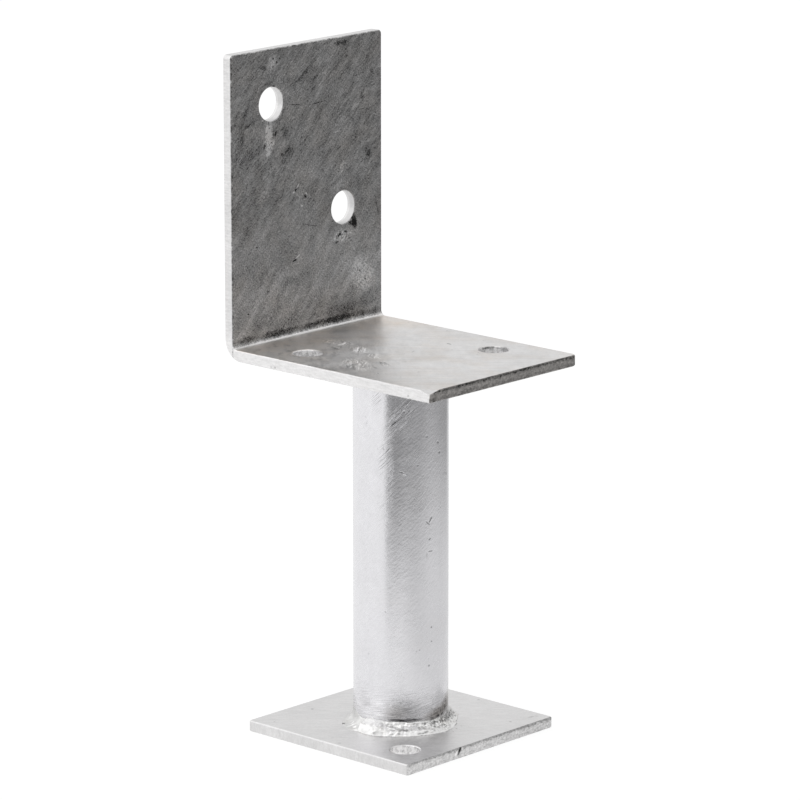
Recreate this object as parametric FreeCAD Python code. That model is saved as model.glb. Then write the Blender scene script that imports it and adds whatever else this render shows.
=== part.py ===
import FreeCAD, Part
import math
import os

os.makedirs("parts", exist_ok=True)

# A half-stirrup base for a timber post: a folded bracket on a round tube and a square foot plate,
# joined by two ring welds. Lengths are millimetres.
# The origin is the middle of the foot plate's underside. +Z runs up the tube.
# +X runs from the upright towards the free end of the seat.

# Foot plate
base_side = 76.5
base_thickness = 4.0
base_corner_radius = 1.0
anchor_hole_diameter = 10.5
anchor_hole_inset = 12.5
vent_hole_diameter = 12.0

# Tube
tube_diameter = 33.7
tube_wall = 3.2
tube_length = 130.0

# Bracket, folded from one flat bar
bar_width = 76.5
bar_thickness = 4.0
bend_inner_radius = 2.0
bend_outer_radius = 7.5
axis_to_upright_back = 48.5
axis_to_seat_end = 48.5
upright_height = 108.0
seat_far_corner_radius = 2.2
seat_near_corner_radius = 0.6
upright_corner_radius = 1.5

# Holes for the post's bolts, one each side of the middle, one below the other
bolt_hole_diameter = 12.0
bolt_hole_from_middle = 18.2
upper_bolt_hole_below_top = 19.5
bolt_hole_step = 42.0

# Holes for screws up through the seat, on one diagonal about the tube
screw_hole_diameter = 10.5
screw_hole_along = 22.0
screw_hole_across = 24.0

# The shears dragged the seat's near corner down into a shallow and a steep slope. Each reaches this far
# along the side, this far across the end and this far down the corner.
dragged_slopes = ((5.0, 6.0, 1.2), (3.6, 0.6, 3.4))

# The zinc leaves every sheared edge and hole rim a little blunt
edge_break = 0.35

# Ring welds: reach over the plate, rise on the tube, and how much both wander
foot_bead_reach = 5.0
foot_bead_rise = 4.0
seat_bead_reach = 4.0
seat_bead_rise = 4.0
bead_crown = 0.3
bead_wander = 0.45
bead_sections = 40
bead_overlap = 1.0

seat_underside = base_thickness + tube_length
seat_top = seat_underside + bar_thickness
upright_top = seat_underside + upright_height
upright_back = -axis_to_upright_back
upright_face = upright_back + bar_thickness
tube_radius = tube_diameter / 2


def sharp_edges(solid):
    """Edges where two faces meet at an angle, leaving out the smooth joins of flats and bends."""
    found = []
    for edge in solid.Edges:
        faces = solid.ancestorsOfType(edge, Part.Face)
        if len(faces) != 2:
            continue
        middle = edge.valueAt((edge.FirstParameter + edge.LastParameter) / 2)
        normals = [face.normalAt(*face.Surface.parameter(middle)) for face in faces]
        if abs(normals[0].dot(normals[1])) < 0.9:
            found.append(edge)
    return found


def edges_along(solid, direction, at):
    """Straight edges that run in one direction through the given level of another axis."""
    found = []
    for edge in solid.Edges:
        run = edge.Vertexes[-1].Point - edge.Vertexes[0].Point
        if run.Length < 1e-6 or abs(run.normalize().dot(direction)) < 0.999:
            continue
        if at(edge.CenterOfMass):
            found.append(edge)
    return found


def drilled(solid, centre, direction, diameter):
    """The solid with one round hole straight through the plate about this centre."""
    reach = max(base_thickness, bar_thickness) * 2
    start = centre - direction * reach
    return solid.cut(Part.makeCylinder(diameter / 2, reach * 2, start, direction))


def make_base_plate():
    half = base_side / 2
    plate = Part.makeBox(base_side, base_side, base_thickness, FreeCAD.Vector(-half, -half, 0))
    upward = FreeCAD.Vector(0, 0, 1)
    corners = edges_along(plate, upward, lambda point: True)
    plate = plate.makeFillet(base_corner_radius, corners)
    hole_reach = half - anchor_hole_inset
    for side in (1, -1):
        centre = FreeCAD.Vector(side * hole_reach, -side * hole_reach, base_thickness / 2)
        plate = drilled(plate, centre, upward, anchor_hole_diameter)
    plate = drilled(plate, FreeCAD.Vector(0, 0, base_thickness / 2), upward, vent_hole_diameter)
    return plate.makeChamfer(edge_break, sharp_edges(plate))


def make_tube():
    bottom = FreeCAD.Vector(0, 0, base_thickness)
    outside = Part.makeCylinder(tube_radius, tube_length, bottom)
    inside = Part.makeCylinder(tube_radius - tube_wall, tube_length, bottom)
    return outside.cut(inside)


def bracket_outline():
    """The folded bar seen from the side: seat, bend and upright."""
    outer_x = upright_back + bend_outer_radius
    outer_z = seat_underside + bend_outer_radius
    inner_x = upright_face + bend_inner_radius
    inner_z = seat_top + bend_inner_radius
    slant = math.sqrt(0.5)

    def point(x, z):
        return FreeCAD.Vector(x, 0, z)

    outer_middle = point(outer_x - bend_outer_radius * slant, outer_z - bend_outer_radius * slant)
    inner_middle = point(inner_x - bend_inner_radius * slant, inner_z - bend_inner_radius * slant)

    return Part.Wire([
        Part.makeLine(point(axis_to_seat_end, seat_underside), point(outer_x, seat_underside)),
        Part.Arc(point(outer_x, seat_underside), outer_middle, point(upright_back, outer_z)).toShape(),
        Part.makeLine(point(upright_back, outer_z), point(upright_back, upright_top)),
        Part.makeLine(point(upright_back, upright_top), point(upright_face, upright_top)),
        Part.makeLine(point(upright_face, upright_top), point(upright_face, inner_z)),
        Part.Arc(point(upright_face, inner_z), inner_middle, point(inner_x, seat_top)).toShape(),
        Part.makeLine(point(inner_x, seat_top), point(axis_to_seat_end, seat_top)),
        Part.makeLine(point(axis_to_seat_end, seat_top), point(axis_to_seat_end, seat_underside)),
    ])


def without_dragged_corner(bar):
    """The bar less the thin wedges over the slopes that the shears left at the seat's near corner."""
    half = bar_width / 2
    for reach_along, reach_across, reach_down in dragged_slopes:
        along = FreeCAD.Vector(axis_to_seat_end - reach_along, -half, seat_top)
        across = FreeCAD.Vector(axis_to_seat_end, -half + reach_across, seat_top)
        down = FreeCAD.Vector(axis_to_seat_end, -half, seat_top - reach_down)
        slope_normal = (across - along).cross(down - along).normalize()
        if slope_normal.z < 0:
            slope_normal = slope_normal * -1
        block = Part.makeBox(bar_width, bar_width, bar_thickness * 2)
        block.translate(FreeCAD.Vector(-bar_width / 2, -bar_width / 2, 0))
        block.Placement = FreeCAD.Placement(
            along, FreeCAD.Rotation(FreeCAD.Vector(0, 0, 1), slope_normal)).multiply(block.Placement)
        bar = bar.cut(block)
    return bar


def make_bracket():
    bar = Part.Face(bracket_outline()).extrude(FreeCAD.Vector(0, bar_width, 0))
    bar.translate(FreeCAD.Vector(0, -bar_width / 2, 0))
    along = FreeCAD.Vector(1, 0, 0)
    upward = FreeCAD.Vector(0, 0, 1)
    for side, radius in ((-1, seat_near_corner_radius), (1, seat_far_corner_radius)):
        corner = edges_along(
            bar, upward, lambda point: point.x > axis_to_seat_end - bar_thickness and point.y * side > 0)
        bar = bar.makeFillet(radius, corner)
    upright_corners = edges_along(bar, along, lambda point: point.z > upright_top - bar_thickness)
    bar = bar.makeFillet(upright_corner_radius, upright_corners)
    plate_middle_x = upright_back + bar_thickness / 2
    plate_middle_z = seat_underside + bar_thickness / 2
    upper_z = upright_top - upper_bolt_hole_below_top
    for side, height in ((-1, upper_z), (1, upper_z - bolt_hole_step)):
        centre = FreeCAD.Vector(plate_middle_x, side * bolt_hole_from_middle, height)
        bar = drilled(bar, centre, along, bolt_hole_diameter)
    for side in (1, -1):
        centre = FreeCAD.Vector(side * screw_hole_along, side * screw_hole_across, plate_middle_z)
        bar = drilled(bar, centre, upward, screw_hole_diameter)
    bar = bar.makeChamfer(edge_break, sharp_edges(bar))
    return without_dragged_corner(bar)


def wander(angle, turn):
    """How far a hand-laid bead strays at this angle, between about -1 and 1."""
    slow = math.sin(3 * angle + turn)
    middling = math.sin(7 * angle + 2.3 * turn)
    quick = math.sin(13 * angle + 1.7 * turn)
    return 0.5 * slow + 0.3 * middling + 0.2 * quick


def make_bead(plate_level, away, reach, rise, turn):
    """A fillet weld round the tube on one plate's face. It leaves the plate in the direction away."""

    def section(angle):
        foot_radius = tube_radius + reach + bead_wander * wander(angle, turn)
        crest = rise + bead_wander * wander(angle, turn + 2)
        inner_radius = tube_radius - bead_overlap
        under = -bead_overlap
        slope = math.hypot(foot_radius - tube_radius, crest)
        middle_radius = (foot_radius + tube_radius) / 2 + bead_crown * crest / slope
        middle_rise = crest / 2 + bead_crown * (foot_radius - tube_radius) / slope

        def point(radius, height):
            x = radius * math.cos(angle)
            y = radius * math.sin(angle)
            return FreeCAD.Vector(x, y, plate_level + away * height)

        foot = point(foot_radius, 0)
        top = point(tube_radius, crest)
        return Part.Wire([
            Part.makeLine(point(inner_radius, under), point(foot_radius, under)),
            Part.makeLine(point(foot_radius, under), foot),
            Part.Arc(foot, point(middle_radius, middle_rise), top).toShape(),
            Part.makeLine(top, point(inner_radius, crest)),
            Part.makeLine(point(inner_radius, crest), point(inner_radius, under)),
        ])

    sections = [section(2 * math.pi * step / bead_sections) for step in range(bead_sections)]
    ring = Part.makeLoft(sections, True, False, True)
    span = 2 * (rise + reach)
    tube_core = Part.makeCylinder(tube_radius, 2 * span, FreeCAD.Vector(0, 0, plate_level - span))
    plate_top = plate_level if away > 0 else plate_level + span
    plate_block = Part.makeCylinder(tube_diameter + reach, span, FreeCAD.Vector(0, 0, plate_top - span))
    return ring.cut(tube_core).cut(plate_block)


nodes = {
    "base_plate": make_base_plate(),
    "tube": make_tube(),
    "bracket": make_bracket(),
    "foot_weld": make_bead(base_thickness, 1, foot_bead_reach, foot_bead_rise, 0.4),
    "seat_weld": make_bead(seat_underside, -1, seat_bead_reach, seat_bead_rise, 1.9),
}

for name, shape in nodes.items():
    shape.exportStep("parts/" + name + ".step")
    print(name, "solids", len(shape.Solids), "valid", shape.isValid(), "volume", round(shape.Volume, 1))
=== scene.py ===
import math

import bmesh
import bpy
from bpy.props import FloatProperty, FloatVectorProperty, IntProperty, PointerProperty
from mathutils import Euler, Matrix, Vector, noise


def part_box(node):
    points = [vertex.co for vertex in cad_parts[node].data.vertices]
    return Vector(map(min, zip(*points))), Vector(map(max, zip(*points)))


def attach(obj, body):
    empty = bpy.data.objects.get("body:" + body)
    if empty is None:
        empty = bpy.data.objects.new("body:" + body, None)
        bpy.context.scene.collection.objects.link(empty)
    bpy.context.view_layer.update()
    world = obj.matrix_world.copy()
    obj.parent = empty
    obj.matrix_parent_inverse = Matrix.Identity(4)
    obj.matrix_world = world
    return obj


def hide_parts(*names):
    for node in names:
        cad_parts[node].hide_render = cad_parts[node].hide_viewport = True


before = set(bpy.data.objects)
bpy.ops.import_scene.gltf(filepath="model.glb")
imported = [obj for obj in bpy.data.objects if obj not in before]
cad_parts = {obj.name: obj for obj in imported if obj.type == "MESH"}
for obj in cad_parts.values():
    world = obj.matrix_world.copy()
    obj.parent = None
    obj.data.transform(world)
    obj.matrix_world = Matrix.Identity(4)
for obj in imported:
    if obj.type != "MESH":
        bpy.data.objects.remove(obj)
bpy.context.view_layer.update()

bl_info = {
    "name": "Galvanised post base",
    "version": (1, 0, 0),
    "blender": (4, 5, 0),
    "location": "View3D > Sidebar > Post base",
    "description": "Zinc finishes, weld beads and a plain studio for a timber post base",
    "category": "Object",
}

BODY = "root"
MM = 0.001

# Levels and faces that the finishes and the welds are measured from, in metres
PLATE_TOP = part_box("base_plate")[1].z
PLATE_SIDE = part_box("base_plate")[1].x
SEAT_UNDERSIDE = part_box("tube")[1].z
SEAT_TOP = SEAT_UNDERSIDE + PLATE_TOP
SEAT_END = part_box("bracket")[1].x
BAR_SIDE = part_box("bracket")[1].y
UPRIGHT_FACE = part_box("bracket")[0].x + PLATE_TOP
UPRIGHT_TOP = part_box("bracket")[1].z
TUBE_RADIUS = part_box("tube")[1].x

# Holes, in millimetres: Y and Z on the upright, X and Y on the plates, and the radius out to the blunt rim
BOLT_HOLES = ((-18.2, 222.5), (18.2, 180.5))
BOLT_RIM_RADIUS = 6.34
SCREW_HOLES = ((-22.0, -24.0), (22.0, 24.0))
FRONT_ANCHOR_HOLE = (25.75, -25.75)
SCREW_RIM_RADIUS = 5.6

# Shades inside a screw hole and the front anchor hole, in millimetres: place, half sizes
RIM_SHADE = ((17.4, 25.8, 137.7), (3.4, 3.4, 0.9))
LEFT_SHADE = ((21.9, -29.3, 2.4), (1.9, 1.9, 3.0))

# Half depth in millimetres of a mark on a face and of a tone in a hole, and how sharply the tone ends
MARK_REACH = 8
HOLE_REACH = 9
HOLE_EDGE = 0.02
NO_TURN = (0, 0, 0)

# Sizes in millimetres of what all hot-dip zinc shows, and the factor that brings its noise to about 1
CLOUD_SIZE = 24.0
MOTTLE_SIZE = 5.5
GRAIN_SIZE = 0.75
NOISE_TO_ONE = 4

# Limits of a finish's tone and roughness
DARKEST = 0.04
BRIGHTEST = 1.28
GLOSSIEST = 0.10
DULLEST = 0.90

# How a place is shaken before a small mark is laid on it: size and amount in millimetres
CHIPPED = (0.8, 0.3)

# Stretches in millimetres over which a finish changes, from none to full: heights (the upright's painted
# shade deepens over the second), then X and Y on the seat
BRUSHING_GROWS = (165.0, 205.0)
UPRIGHT_SHADE_DEEPENS = (150.0, 190.0)
SIDES_BRIGHTEN = (150.0, 135.0)
FOOT_BRUSHING = (24.0, 11.0)
SEAT_GREYS_IN_X = (-4.0, -40.0)
SEAT_SCALES_IN_X = (16.0, -12.0)
SEAT_SCALES_IN_Y = (14.0, -30.0)

# Ways that strokes run, in degrees
ROLLED_WAY = 42
CRUSTED_WAY = -45
BRUSHED_WAY = 40
CROSSED_WAY = -35
VEILED_WAY = 50
GROUND_WAY = 43
RIDGED_WAY = 46
ROUND_WAY = 9
GASHED_WAY = -34

# Painted highlight along the bend, in millimetres: how far in front of the upright's face and above the
# seat, and its half sizes
BEND_HIGHLIGHT_PLACE = (0.9, 0.55)
BEND_HIGHLIGHT_SIZE = (0.70, 60, 0.50)

# The marks that show on this piece, in millimetres: place (two numbers), half length, half width, turn in
# degrees, strength, which darkens below 0. A place is Y and Z on the upright, X and Y on the seat and the
# foot plate, and the angle in degrees and Z on the tube and its foot weld.
UPRIGHT_SMEARS = (
    (-22.0, 235.8, 3.2, 1.0, -15, -0.30),
    (-1.7, 231.3, 9.9, 1.1, 37, -0.25),
    (3.6, 229.0, 9.0, 0.7, 37, -0.14),
    (17.2, 240.0, 5.2, 1.1, 0, -0.38),
    (9.0, 240.6, 3.0, 0.8, 0, -0.24),
    (-20.0, 229.8, 4.5, 0.9, 15, -0.20),
    (-10.7, 203.6, 7.0, 4.2, 30, -0.22),
    (-11.5, 211.5, 4.4, 2.2, -60, -0.16),
    (-29.0, 206.0, 7.0, 7.0, 30, -0.12),
    (-30.0, 190.0, 8.0, 4.0, 45, -0.10),
    (-33.0, 212.5, 3.0, 6.0, -15, -0.16),
    (-30.0, 216.0, 5.0, 1.0, 30, -0.16),
    (31.0, 199.0, 2.4, 4.5, 15, -0.18),
    (33.0, 226.0, 1.6, 5.0, 0, -0.16),
    (26.0, 187.0, 2.0, 5.0, 0, -0.10),
    (-24.0, 161.0, 9.0, 5.0, 15, -0.08),
    (-8.0, 158.0, 5.0, 2.5, 0, -0.10),
    (-27.0, 191.0, 3.0, 6.0, 15, -0.08),
    (8.0, 203.0, 6.0, 2.0, 30, 0.10),
    (24.6, 216.6, 4.0, 1.5, 30, 0.30),
    (19.0, 213.0, 3.4, 1.0, 30, 0.20),
    (29.3, 153.0, 7.5, 8.5, 0, 0.11),
    (28.0, 219.0, 2.6, 1.2, -75, -0.26),
    (12.0, 150.0, 16.0, 4.0, 0, 0.08),
    (-17.5, 236.8, 3.6, 3.0, 0, 0.26),
    (2.0, 196.0, 7.0, 5.0, 30, 0.12),
    (22.0, 160.0, 9.0, 5.0, 0, 0.10),
)
UPRIGHT_NICKS = (
    (-17.2, 238.4, 0.7, 0.45, 0, -0.55),
    (-15.5, 236.9, 0.6, 0.6, 0, -0.55),
    (-17.4, 235.6, 0.8, 0.4, 15, -0.45),
    (-13.9, 238.1, 0.4, 0.5, 0, -0.40),
    (-6.0, 190.6, 1.5, 0.50, 45, -0.45),
    (-5.2, 191.5, 1.6, 0.45, 45, 0.60),
    (-7.2, 189.6, 0.9, 0.45, 15, 0.60),
    (-0.8, 188.2, 1.2, 0.40, -45, 0.50),
    (-1.4, 187.4, 1.2, 0.40, -45, -0.40),
    (-3.2, 184.2, 0.7, 0.40, 0, 0.50),
    (-16.9, 228.6, 1.0, 0.45, 0, -0.60),
    (-20.6, 214.2, 2.0, 0.70, 75, 0.45),
    (-18.8, 211.0, 1.9, 0.95, 60, 0.60),
    (-17.6, 208.4, 1.6, 0.75, 45, 0.50),
    (-19.9, 205.2, 2.0, 0.95, 30, 0.50),
    (-16.2, 211.8, 1.8, 0.65, 75, -0.34),
    (-21.8, 208.0, 1.7, 0.65, 75, -0.30),
    (-6.9, 165.1, 1.5, 0.5, 15, -0.50),
    (-5.5, 166.2, 1.5, 0.40, 30, 0.75),
    (15.8, 170.7, 1.8, 0.7, 15, -0.45),
    (19.3, 171.6, 1.3, 0.55, -15, -0.40),
    (14.7, 168.3, 1.2, 0.5, 15, -0.40),
    (21.2, 168.9, 0.9, 0.4, 0, -0.30),
    (17.8, 168.9, 1.3, 0.45, 15, 0.45),
    (13.6, 169.9, 0.9, 0.4, 30, 0.40),
    (21.8, 170.8, 0.9, 0.4, -15, 0.40),
    (14.4, 177.4, 0.8, 0.5, 60, -0.45),
    (23.4, 175.9, 3.8, 1.6, -60, -0.40),
    (24.0, 173.4, 2.2, 1.6, -75, -0.40),
    (22.4, 174.2, 2.2, 1.2, -15, -0.30),
    (29.5, 152.6, 0.5, 0.5, 0, -0.45),
    (17.0, 157.5, 0.5, 0.4, 0, -0.40),
    (-26.0, 172.5, 0.5, 0.4, 0, -0.40),
    (-20.5, 156.0, 0.5, 0.5, 0, -0.45),
    (-30.5, 149.5, 0.5, 0.4, 0, -0.45),
    (24.5, 206.0, 0.4, 0.4, 0, -0.35),
)
UPRIGHT_SCRATCHES = (
    (-6.0, 220.7, 5.4, 0.20, -9, -0.45),
    (4.8, 219.9, 6.0, 0.20, 4, -0.45),
    (0.9, 176.6, 6.2, 0.26, -15, -0.22),
    (-3.6, 214.0, 4.5, 0.25, 45, -0.16),
    (-31.0, 194.0, 3.5, 0.3, 75, -0.24),
    (36.0, 177.0, 4.0, 0.4, -75, -0.20),
)
SPECKLED = (
    (-19.6, 210.5, 8.4, 3.0, 90, 1.5),
    (16.8, 194.6, 6.8, 2.2, 45, 0.50),
    (-17.5, 236.6, 3.6, 2.8, 0, 0.30),
    (-4.0, 188.0, 4.5, 1.2, 60, 0.35),
    (-22.0, 191.0, 6.0, 3.0, 30, 0.25),
    (17.5, 170.4, 6.5, 3.4, 0, 0.60),
    (28.0, 155.0, 9.0, 9.0, 0, 0.55),
    (17.0, 188.5, 8.0, 2.5, 15, 0.30),
)
BEND_SHADE = (
    (0.0, 140.3, 62.0, 1.7, 0, -0.34),
    (13.0, 140.6, 25.0, 1.7, 0, -0.42),
    (-16.0, 140.5, 11.0, 1.6, 0, -0.28),
    (-32.0, 140.6, 5.6, 1.8, 0, -0.44),
    (20.0, 143.6, 17.0, 3.2, 0, -0.22),
    (-12.0, 143.6, 26.0, 3.0, 0, -0.16),
    (18.0, 145.5, 22.0, 7.5, 0, -0.20),
    (-14.0, 144.5, 24.0, 8.5, 0, -0.19),
)
SEAT_DROSS = (
    (-26.0, -4.5, 7.4, 4.2, 0, 0.80),
    (-13.0, -8.2, 6.8, 4.0, -30, 0.60),
    (-20.5, -10.5, 3.4, 2.2, 0, -0.42),
    (1.5, -25.0, 13.0, 6.4, -30, 0.38),
    (9.0, -18.0, 5.0, 2.2, -15, -0.22),
    (-29.0, -17.0, 4.6, 3.6, 15, 0.20),
    (-16.5, -26.0, 6.0, 3.0, 15, 0.24),
    (-2.0, -12.0, 6.0, 3.0, -30, 0.20),
)
SEAT_NICKS = (
    (-32.0, -31.0, 1.8, 0.6, 45, 0.40),
    (-29.6, -24.9, 1.7, 0.6, 45, 0.36),
    (-31.4, -32.0, 1.8, 0.5, 45, -0.35),
    (-28.8, -25.9, 1.8, 0.5, 45, -0.32),
    (-18.9, -12.6, 1.6, 1.2, 0, -0.42),
    (4.6, 20.0, 1.8, 0.5, -15, -0.40),
    (-3.0, -24.4, 1.7, 0.8, 30, -0.36),
    (6.8, -27.2, 1.6, 0.6, 15, -0.40),
    (7.4, -17.4, 1.7, 0.6, 30, -0.36),
    (10.6, -24.4, 1.4, 0.6, 0, -0.30),
    (1.0, -20.6, 1.6, 0.7, -15, 0.30),
    (-26.5, -9.0, 1.5, 0.6, 30, -0.32),
    (-22.6, -3.6, 1.6, 0.7, 0, 0.34),
    (-9.8, -6.4, 1.5, 0.7, 15, 0.34),
)
PLATE_NICKS = (
    (-30.8, -13.2, 0.7, 0.7, 0, -0.34),
    (-30.3, -33.3, 0.5, 0.5, 0, -0.30),
    (31.3, 23.4, 0.8, 0.5, 20, -0.40),
    (5.4, 35.4, 0.6, 0.6, 0, -0.28),
    (32.9, 32.6, 1.6, 0.5, 70, -0.42),
    (33.7, 34.8, 1.0, 0.4, 30, -0.36),
    (29.7, -19.6, 1.8, 0.35, 45, 0.25),
    (31.0, -18.2, 1.8, 0.3, 45, 0.22),
    (24.5, -16.6, 0.6, 0.5, 0, 0.20),
)
TUBE_NICKS = (
    (-45.9, 98.6, 1.3, 0.40, -24, -0.45),
    (-43.0, 98.0, 1.0, 0.30, -24, 0.18),
    (5.6, 104.3, 0.6, 0.6, 0, -0.42),
    (2.6, 108.1, 0.6, 0.7, 60, -0.30),
    (22.5, 95.7, 0.6, 0.8, 0, -0.40),
    (-9.4, 80.9, 1.5, 0.40, 60, -0.45),
    (-13.2, 79.8, 1.4, 0.35, -45, -0.35),
    (-8.0, 80.4, 1.2, 0.30, 60, 0.16),
    (-9.2, 69.4, 1.1, 0.35, 0, -0.35),
    (-14.5, 68.4, 0.4, 1.3, 0, -0.16),
    (-10.5, 73.9, 0.7, 0.5, 45, -0.30),
    (-7.7, 41.7, 0.5, 0.5, 0, -0.30),
    (-7.6, 36.5, 0.5, 0.5, 0, -0.26),
    (-11.3, 27.8, 0.6, 0.5, 0, -0.30),
    (-27.0, 101.0, 0.5, 0.5, 0, -0.20),
    (-15.0, 111.0, 0.7, 0.6, 0, -0.16),
)
WELD_PORES = (
    (-115.0, 4.7, 0.6, 0.6, 0, 0.60),
    (-109.0, 4.5, 0.7, 0.5, 0, 0.60),
    (-102.0, 4.5, 0.7, 0.5, 0, 0.55),
    (-89.0, 7.0, 2.8, 0.26, 0, -0.50),
    (-60.0, 7.2, 1.5, 0.30, 0, -0.60),
    (-53.5, 7.1, 0.9, 0.28, 0, -0.50),
    (-36.0, 7.3, 2.6, 0.26, 0, -0.35),
    (-56.0, 5.9, 1.2, 0.40, 0, -0.95),
    (-48.0, 5.7, 0.8, 0.36, 20, -0.95),
    (-44.5, 5.8, 0.8, 0.36, -25, -0.95),
    (-41.0, 5.7, 0.8, 0.36, 25, -0.95),
    (-37.5, 5.8, 0.6, 0.35, 0, -0.75),
    (-28.5, 7.1, 0.7, 0.40, 0, -0.85),
    (-28.0, 6.1, 0.8, 0.50, 0, -0.95),
    (-23.0, 6.0, 0.9, 0.35, -20, -0.65),
    (-19.0, 7.1, 0.45, 0.8, 0, -0.80),
    (-13.0, 6.6, 0.6, 0.6, 0, -0.85),
    (-9.0, 5.8, 0.6, 0.5, 0, -0.75),
    (-5.0, 7.0, 0.5, 0.6, 0, -0.85),
)
WELD_SOOT = (
    (-8.0, 6.6, 3.6, 2.6, 0, -0.32),
    (8.0, 6.2, 4.8, 2.8, 0, -0.60),
    (30.0, 6.6, 5.0, 3.8, 0, -0.66),
    (50.0, 5.6, 4.0, 2.4, 0, -0.55),
)
# Painted shade on the foot weld's face at the left
WELD_SHADE = ((-128.0, 6.8, 11.5, 6.0, 0, -0.17),)
# Painted light on the middle of the foot weld, the part that faces the camera
WELD_PAINTED_LIGHT = ((-40.0, 6.0, 10.0, 5.0, 0, 0.15),)
TUBE_GRINDING = (
    (-46.0, 119.0, 4.6, 11.5, -35, 1.0),
    (-60.0, 98.0, 2.2, 18.0, 0, 0.45),
    (-68.0, 104.0, 2.6, 9.0, -10, 0.80),
    (-78.0, 124.0, 3.0, 8.0, 0, 0.45),
    (-33.0, 104.0, 3.0, 5.0, -30, 0.30),
    (-24.0, 88.0, 5.0, 7.0, -30, 0.30),
    (-70.0, 84.0, 3.0, 8.0, 0, 0.28),
)
TUBE_BURNT = (
    (4.0, 9.6, 9.0, 3.4, 12, 0.95),
    (28.0, 11.5, 6.5, 5.5, 20, 0.9),
    (40.0, 17.0, 2.5, 9.0, 0, 0.7),
    (-54.0, 11.0, 6.0, 5.0, 0, 0.35),
)
# Painted shadow: a thin dark line on the tube just above the foot weld's top edge
TUBE_WELD_SHADOW_LINE = (
    (-53.0, 8.5, 3.8, 0.70, 0, 0.90),
    (-38.0, 8.5, 4.6, 0.80, 0, 0.95),
    (-26.0, 8.4, 2.6, 0.60, 2, 0.60),
    (-6.0, 8.0, 1.0, 0.5, 8, 0.6),
    (4.0, 8.2, 1.2, 0.60, 8, 0.8),
    (13.0, 8.5, 1.4, 0.60, 20, 0.8),
)
# Two patches low on the tube, then two tall bands down its side that are painted reflections, one darker, one
# lighter
TUBE_PATCHES_AND_REFLECTIONS = (
    (-38.0, 12.0, 7.0, 6.0, 0, -0.22),
    (-74.0, 12.0, 6.0, 7.0, 0, 0.12),
    (-51.0, 100.0, 3.6, 60.0, 0, -0.12),
    (-8.0, 90.0, 6.0, 70.0, 0, 0.07),
)


class ZincSettings(bpy.types.PropertyGroup):
    """Colour and sheen of the hot-dip zinc."""

    bar_colour: FloatVectorProperty(
        name="Bar colour", description="Zinc on the bracket and the foot plate", subtype="COLOR",
        size=3, min=0, max=1, default=(0.758, 0.752, 0.752))
    tube_colour: FloatVectorProperty(
        name="Tube colour", description="Zinc on the tube", subtype="COLOR",
        size=3, min=0, max=1, default=(0.81, 0.806, 0.828))
    weld_colour: FloatVectorProperty(
        name="Weld colour", description="Zinc on the weld beads", subtype="COLOR",
        size=3, min=0, max=1, default=(0.865, 0.862, 0.855))
    stain_colour: FloatVectorProperty(
        name="Stain colour", description="Brownish stain in the corners", subtype="COLOR",
        size=3, min=0, max=1, default=(0.60, 0.53, 0.46))
    bar_roughness: FloatProperty(
        name="Bar roughness", description="How dull the bracket and the foot plate are", subtype="FACTOR",
        min=0, max=1, default=0.42)
    tube_roughness: FloatProperty(
        name="Tube roughness", description="How dull the tube is", subtype="FACTOR",
        min=0, max=1, default=0.24)
    weld_roughness: FloatProperty(
        name="Weld roughness", description="How dull the weld beads are", subtype="FACTOR",
        min=0, max=1, default=0.34)


class WeldSettings(bpy.types.PropertyGroup):
    """Size of the hand-laid weld beads."""

    lump_height: FloatProperty(
        name="Lump height", description="How far a bead's face rises and falls", unit="LENGTH",
        min=0, max=0.002, default=0.00042)
    turns: IntProperty(
        name="Steps round", description="Divisions of a bead round the tube", min=90, max=720, default=420)


class StageSettings(bpy.types.PropertyGroup):
    """Camera and light."""

    azimuth: FloatProperty(
        name="Azimuth", description="Camera's turn about the tube", subtype="ANGLE",
        default=math.radians(42.66))
    elevation: FloatProperty(
        name="Elevation", description="Camera's height above level", subtype="ANGLE",
        default=math.radians(13.66))
    aim: FloatVectorProperty(
        name="Aim", description="Point in the middle of the picture", subtype="TRANSLATION",
        size=3, default=(-0.0002, -0.0002, 0.1205))
    distance: FloatProperty(
        name="Distance", description="Camera to the aim point", unit="LENGTH", default=1.7259)
    focal_length: FloatProperty(
        name="Focal length", description="On a 36 mm wide sensor", subtype="DISTANCE_CAMERA", default=221.9)
    lamp_strength: FloatProperty(
        name="Lamp strength", description="Soft lamp at the left, in watts per square metre",
        min=0, default=0.6)
    lamp_spread: FloatProperty(
        name="Lamp spread", description="How wide the soft lamp looks from the part", subtype="ANGLE",
        default=math.radians(90))


class PostBaseSettings(bpy.types.PropertyGroup):
    """Everything that can be set for the post base."""

    zinc: PointerProperty(type=ZincSettings)
    weld: PointerProperty(type=WeldSettings)
    stage: PointerProperty(type=StageSettings)


class Signal:
    """A socket of a node tree, so that shader sums read as ordinary arithmetic."""

    def __init__(self, tree, socket):
        self.tree = tree
        self.socket = socket

    def maths(self, operation, *others):
        values = dict(enumerate((self,) + others))
        return self.tree.add("ShaderNodeMath", {"operation": operation}, values)

    def __add__(self, other):
        return self.maths("ADD", other)

    __radd__ = __add__

    def __sub__(self, other):
        return self.maths("SUBTRACT", other)

    def __rsub__(self, other):
        return self.maths("MULTIPLY_ADD", -1.0, other)

    def __mul__(self, other):
        return self.maths("MULTIPLY", other)

    __rmul__ = __mul__

    def __truediv__(self, other):
        return self.maths("DIVIDE", other)

    def __abs__(self):
        return self.maths("ABSOLUTE")

    def least(self, other):
        return self.maths("MINIMUM", other)

    def most(self, other):
        return self.maths("MAXIMUM", other)

    def rise(self, start, end, height=1.0):
        """Goes smoothly from 0 at start to a height at end. Start may be the larger."""
        values = {"Value": self, "From Min": start, "From Max": end, "To Max": height}
        return self.tree.add("ShaderNodeMapRange", {"interpolation_type": "SMOOTHSTEP"}, values)


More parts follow.
